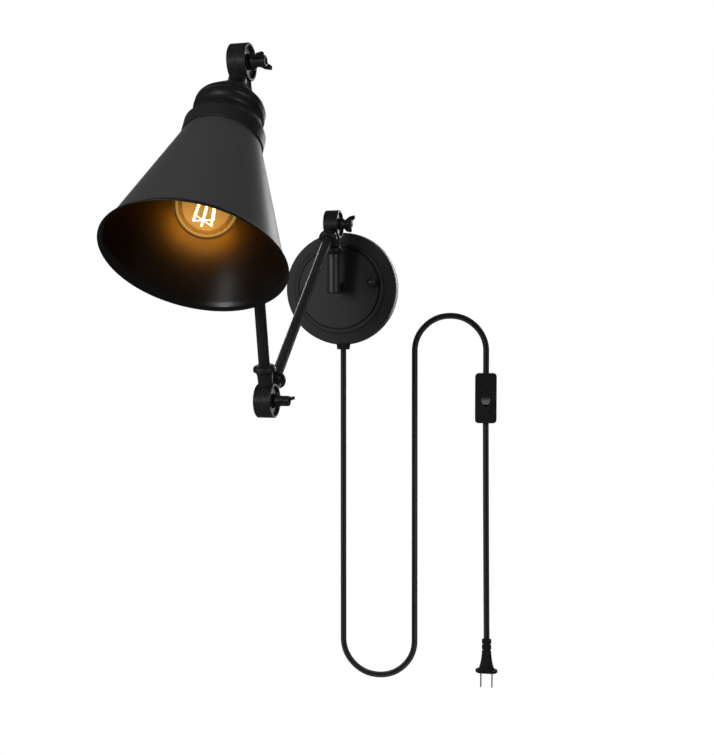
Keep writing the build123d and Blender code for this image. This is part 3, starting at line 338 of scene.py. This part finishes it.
paint["filamentGlow"] = glowing("filamentGlow", filamentLook)

fibreLook = dict(finishes["mouldedBlack"], dark=(0.012, 0.0115, 0.011), light=(0.022, 0.021, 0.02),
                 rough=0.8)
paint["fibre"] = satinBlack("fibre", fibreLook)
print("finishes made:", len(paint))

slotPaint = {
    "black_metal": "armPaint", "shade_metal": "shadePaint", "zinc_steel": "zinc",
    "brass_metal": "brass", "moulded_black": "mouldedBlack", "gloss_black": "glossBlack",
    "cord_jacket": "cordJacket", "wire_cover": "cordJacket", "nickel_blade": "nickel",
    "cap_metal": "zinc", "bulb_glass": "globeGlass", "mount_glass": "mountGlass",
    "filament": "filamentGlow", "fibre_ring": "fibre",
}
castings = (
    "swivel_post", "lower_arm_rear_knuckle", "lower_arm_front_knuckle", "upper_arm_low_knuckle",
    "upper_arm_high_knuckle", "head_knuckle", "lower_wing_nut", "elbow_wing_nut", "shade_wing_nut",
    "barrel_end_cap")
nodePaint = {
    "cap_nuts": "nutPaint", "canopy": "canopyPaint", "thrust_washer": "armPaint",
    "shade_cap": "capPaint", "shade_band": "bandPaint", "lower_arm_tube": "lowerArmLitPaint",
    "swivel_barrel": "barrelLitPaint",
    **{name: "castPaint" for name in castings},
}
nodeSlot = {p["node"]: p["material_slot"] for p in frame["record"]["subparts"]}
wears = {name: nodePaint.get(name, slotPaint[nodeSlot[name]]) for name in frame["nodes"]}
for name, node in frame["nodes"].items():
    node.data.materials.clear()
    node.data.materials.append(paint[wears[name]])
print("finishes on", len(wears), "nodes")

# the camera's place in metres and its angles in radians
view = {"place": (0.1902, -1.1316, -0.0527), "lookDown": 0.04399, "lookLeft": 0.15223,
        "lens": 46.846, "sensor": 36, "nearest": 0.01}
camera = bpy.data.objects.new("camera", bpy.data.cameras.new("camera"))
bpy.context.collection.objects.link(camera)
camera.location = view["place"]
camera.rotation_euler = (math.pi / 2 - view["lookDown"], 0, view["lookLeft"])
camera.data.lens, camera.data.sensor_width = view["lens"], view["sensor"]
camera.data.clip_start = view["nearest"]
bpy.context.scene.camera = camera
bpy.context.scene.view_settings.view_transform = "Standard"

# white to look at; as a lamp it is a pale wall behind the object and a dark room in front of it
studio = {"white": (1.0, 1.0, 1.0), "front": 0.045, "back": 0.35, "backFrom": 0.55, "backTo": 1.0,
          "floorGlow": 0.12, "floorSize": 12, "floorHeight": -0.62}
world = bpy.data.worlds.new("studio")
bpy.context.scene.world = world
sky = Shader("sky", world)
facing = sky.node("ShaderNodeSeparateXYZ", {}, {"Vector": sky.node("ShaderNodeTexCoord")}, "Y")
wall = sky.between(facing, studio["backFrom"], studio["backTo"], studio["back"], studio["front"])
seen = sky.node("ShaderNodeLightPath", output="Is Camera Ray")
air = sky.node("ShaderNodeBackground", {},
               {"Color": studio["white"], "Strength": seen + wall * (1 - seen)})
sky.node("ShaderNodeOutputWorld", {}, {"Surface": air}, None)

bpy.ops.mesh.primitive_plane_add(size=studio["floorSize"], location=(0, 0, studio["floorHeight"]))
floor = bpy.context.object
floor.name = "floor"
paper = Shader("floorPaper")
seen = paper.node("ShaderNodeLightPath", output="Is Camera Ray")
glow = paper.node("ShaderNodeEmission", {},
                  {"Color": studio["white"], "Strength": seen + (1 - seen) * studio["floorGlow"]})
paper.node("ShaderNodeOutputMaterial", {}, {"Surface": glow}, None)
floor.data.materials.append(paper.material)


def wearing(*names):
    return [name for name, finish in wears.items() if finish in names]


metalwork = wearing("castPaint", "barrelLitPaint", "armPaint", "nutPaint", "lowerArmLitPaint")
ringFaces = ("elbow_friction_ring", "shade_friction_ring", "lower_friction_ring",
             "lower_arm_front_knuckle", "upper_arm_low_knuckle", "head_knuckle")
nearAim, farAim = (0, -0.2, 0), (0, -0.3, 0)  # 0.2 and 0.3 m out from the wall
# a lamp that doesn't shine only lights the paint, and one that doesn't flood only leaves a sheen;
# "only" holds the pieces that it lights
lamps = {
    "keyLeft": {
        "place": (-0.62, -2.0, 0.12), "aim": nearAim, "size": (0.75, 0.75), "watts": 50,
        "shines": False,
    },
    "frontFill": {
        "place": (0.4, -2.4, 0.6), "aim": nearAim, "size": (2.5, 2.0), "watts": 2.2, "shines": False,
    },
    "shadeFill": {
        "place": (1.5, -1.9, 0.5), "aim": farAim, "size": (1.6, 1.6), "watts": 21,
        "shines": False, "only": ("shade",),
    },
    "boxLeft": {
        "place": (-1.5, -1.5, 0.3), "aim": nearAim, "size": (0.5, 0.9), "watts": 6, "only": metalwork,
    },
    "boxRight": {
        "place": (1.6, -1.2, 0.3), "aim": nearAim, "size": (0.4, 0.8), "watts": 4, "only": metalwork,
    },
    "capLeft": {
        "place": (-0.7, -1.95, 0.75), "aim": (0, -0.3, 0.1), "size": (0.5, 0.3), "watts": 6,
        "only": wearing("capPaint", "nutPaint", "bandPaint"),
    },
    "capRight": {
        "place": (1.05, -0.6, 1.55), "aim": (0, -0.3, 0.1), "size": (0.3, 0.3), "watts": 2.5,
        "only": wearing("capPaint", "nutPaint"),
    },
    "drumFront": {
        "place": (-0.5, -1.9, 0.2), "aim": farAim, "size": (0.5, 0.3), "watts": 1.6,
        "only": wearing("castPaint", "barrelLitPaint"),
    },
    "rimRight": {"place": (0.6, 1.7, 0.45), "aim": nearAim, "size": (0.25, 0.8), "watts": 6},
    "rimLeft": {"place": (-0.85, 1.8, 0.75), "aim": nearAim, "size": (0.12, 0.8), "watts": 2},
    "sideRight": {
        "place": (2.2, 1.8, 0.8), "aim": farAim, "size": (1.2, 1.2), "watts": 90,
        "shines": False,
    },
    "sideLeft": {
        "place": (-2.2, 1.8, 0.8), "aim": farAim, "size": (1.2, 1.2), "watts": 80,
        "shines": False,
    },
    "topBack": {
        "place": (0.0, 1.2, 2.0), "aim": farAim, "size": (1.2, 1.2), "watts": 45,
        "shines": False,
    },
    "armEdge": {
        "place": (-0.95, 1.5, 0.3), "aim": nearAim, "size": (0.2, 1.2), "watts": 6,
        "only": ("lower_arm_tube",),
    },
    "ringBack": {
        "place": (0.72, 1.36, -0.2), "aim": (0, -0.3, -0.1), "size": (0.5, 0.6), "watts": 2,
        "only": ringFaces,
    },
    "mouthSheen": {
        "place": (-0.93, -2.08, 0.3), "aim": (-0.028, -0.381, -0.01), "size": (0.45, 0.6),
        "watts": 13, "floods": False, "only": ("shade",),
    },
    "canopyFill": {
        "place": (0.4, -2.4, 0.6), "aim": (0, -0.05, 0), "size": (2.5, 2.0), "watts": 4,
        "shines": False, "only": ("canopy",),
    },
    "canopyRim": {
        "place": (0.58, 1.71, -0.15), "aim": (0.06, -0.01, -0.01), "size": (0.3, 0.4), "watts": 1.6,
        "only": ("canopy",),
    },
    "barrelFront": {
        "place": (-0.4, -2.0, 0.2), "aim": (0, -0.06, 0), "size": (0.6, 0.4), "watts": 4,
        "only": ("swivel_barrel", "barrel_end_cap"),
    },
    "rockerBox": {
        "place": (0.16, -1.5, 0.85), "aim": (0.16, 0, -0.12), "size": (0.6, 0.9), "watts": 5,
        "only": ("switch_rocker",),
    },
}


def lightOnly(lamp, group, names):
    lit = bpy.data.collections.new(group)
    for name in names:
        lit.objects.link(frame["nodes"][name])
    lamp.light_linking.receiver_collection = lit


def softLight(name, look):
    data = bpy.data.lights.new(name, "AREA")
    data.shape = "RECTANGLE"
    data.size, data.size_y = look["size"]
    data.energy = look["watts"]
    lamp = bpy.data.objects.new(name, data)
    bpy.context.collection.objects.link(lamp)
    lamp.location = look["place"]
    beam = Vector(look["aim"]) - Vector(look["place"])
    lamp.rotation_euler = beam.to_track_quat("-Z", "Y").to_euler()
    lamp.visible_glossy = look.get("shines", True)
    lamp.visible_diffuse = look.get("floods", True)
    if "only" in look:
        lightOnly(lamp, name + "Lights", look["only"])


for name, look in lamps.items():
    softLight(name, look)

# the bulb's own light, this far along the shade's axis from its pivot; it passes the glass by
bulbGlow = {"along": 0.14, "watts": 0.36, "colour": (1.0, 0.32, 0.01), "soft": 0.02,
            "notOn": ("bulb_glass", "bulb_mount", "bulb_filaments")}
bulbLight = bpy.data.objects.new("bulbLight", bpy.data.lights.new("bulbLight", "POINT"))
bpy.context.collection.objects.link(bulbLight)
bulbLight.location = shadePivot + shadeAxis * bulbGlow["along"]
bulbLight.data.energy, bulbLight.data.color = bulbGlow["watts"], bulbGlow["colour"]
bulbLight.data.shadow_soft_size = bulbGlow["soft"]
bulbLight.visible_camera = False
lightOnly(bulbLight, "bulbLights", [n for n in frame["nodes"] if n not in bulbGlow["notOn"]])
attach(bulbLight, "shade_head")
print("camera, floor and", len(lamps) + 1, "lamps set")

# the flat twin lead, in metres; it is in two lengths, with the switch between them
flatCord = {"wide": 0.0068, "thick": 0.0034, "groove": 0.0009, "offWall": 0.008,
            "lobePoints": 13, "lobeSweep": 236, "curveOrder": 3, "smoothness": 26}
# the routes go across and up, in millimetres
leadRoute = {
    "node": "cord_lead", "length": 0.959, "farEnd": "fitting",
    "onIt": ["switch_base", "switch_cover", "switch_screws", "switch_terminals", "switch_rocker"],
    "points": [(1.9, -70.2), (1.9, -391.1), (1.9, -425.7), (26.3, -450.2), (60.9, -450.2),
               (85.4, -425.7), (85.4, -391.1), (84.8, -88.9), (84.8, -55.4), (108.4, -31.7),
               (142.0, -31.7), (166.0, -55.4), (166.0, -88.9), (166.0, -96.8)],
}
tailRoute = {
    "node": "cord_tail", "length": 0.2492, "farEnd": "plug", "onIt": ["plug_body", "plug_blades"],
    "points": [(166.0, -153.4), (166.9, -278.0), (168.4, -402.6)],
}


def centreline(name, points):
    curve = bpy.data.curves.new(name, "CURVE")
    curve.dimensions = "3D"
    curve.resolution_u = flatCord["smoothness"]
    spline = curve.splines.new("NURBS")
    spline.points.add(len(points) - 1)
    for point, place in zip(spline.points, points):
        point.co = (*place, 1)
    spline.order_u = flatCord["curveOrder"]
    spline.use_endpoint_u = True
    holder = bpy.data.objects.new(name, curve)
    bpy.context.collection.objects.link(holder)
    bpy.context.view_layer.update()
    line = [v.co.copy() for v in bpy.data.meshes.new_from_object(holder).vertices]
    bpy.data.objects.remove(holder)
    return line


def twinSection():
    # two round conductors side by side with a valley between them
    lobe = flatCord["thick"] / 2
    centre = flatCord["wide"] / 2 - lobe
    valley = lobe - flatCord["groove"]
    count, sweep = flatCord["lobePoints"], flatCord["lobeSweep"]
    side = []
    for i in range(count):
        angle = math.radians(-sweep / 2 + sweep * i / (count - 1))
        side.append((centre + lobe * math.cos(angle), lobe * math.sin(angle)))
    return side + [(0, valley)] + [(-x, y) for x, y in reversed(side)] + [(0, -valley)]


def flatTube(name, line, finish):
    section = twinSection()
    around = len(section)
    bm = bmesh.new()
    uvMap = bm.loops.layers.uv.new("cordUV")
    forward = Vector((0, -1, 0))  # away from the wall
    travelled, along, rings = 0.0, [], []
    for i, spot in enumerate(line):
        run = (line[min(i + 1, len(line) - 1)] - line[max(i - 1, 0)]).normalized()
        across = run.cross(forward).normalized()
        travelled += (spot - line[i - 1]).length if i else 0
        along.append(travelled)
        rings.append([bm.verts.new(spot + across * x + forward * y) for x, y in section])
    for i in range(len(rings) - 1):
        for j in range(around):
            k = (j + 1) % around
            face = bm.faces.new((rings[i][j], rings[i][k], rings[i + 1][k], rings[i + 1][j]))
            face.smooth = True
            spots = ((j, i), (j + 1, i), (j + 1, i + 1), (j, i + 1))
            for loop, (u, v) in zip(face.loops, spots):
                loop[uvMap].uv = (u / around, along[v])
    for ring in (rings[0], rings[-1]):
        bm.faces.new(ring)
    bmesh.ops.recalc_face_normals(bm, faces=bm.faces)
    mesh = bpy.data.meshes.new(name)
    bm.to_mesh(mesh)
    bm.free()
    tube = bpy.data.objects.new(name, mesh)
    bpy.context.collection.objects.link(tube)
    tube.data.materials.append(finish)
    return tube


def layCord(name, route):
    points = [(x / 1000, -flatCord["offWall"], z / 1000) for x, z in route["points"]]
    line = centreline(name + "Line", points)
    tube = flatTube(name, line, paint["cordSkin"])
    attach(tube, "wall_unit")
    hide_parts(route["node"])
    measured = sum((b - a).length for a, b in zip(line, line[1:]))
    print(name, "laid along", len(line), "points,", round(measured * 1000, 1), "mm")


layCord("leadCord", leadRoute)
layCord("tailCord", tailRoute)

print("scene ready")
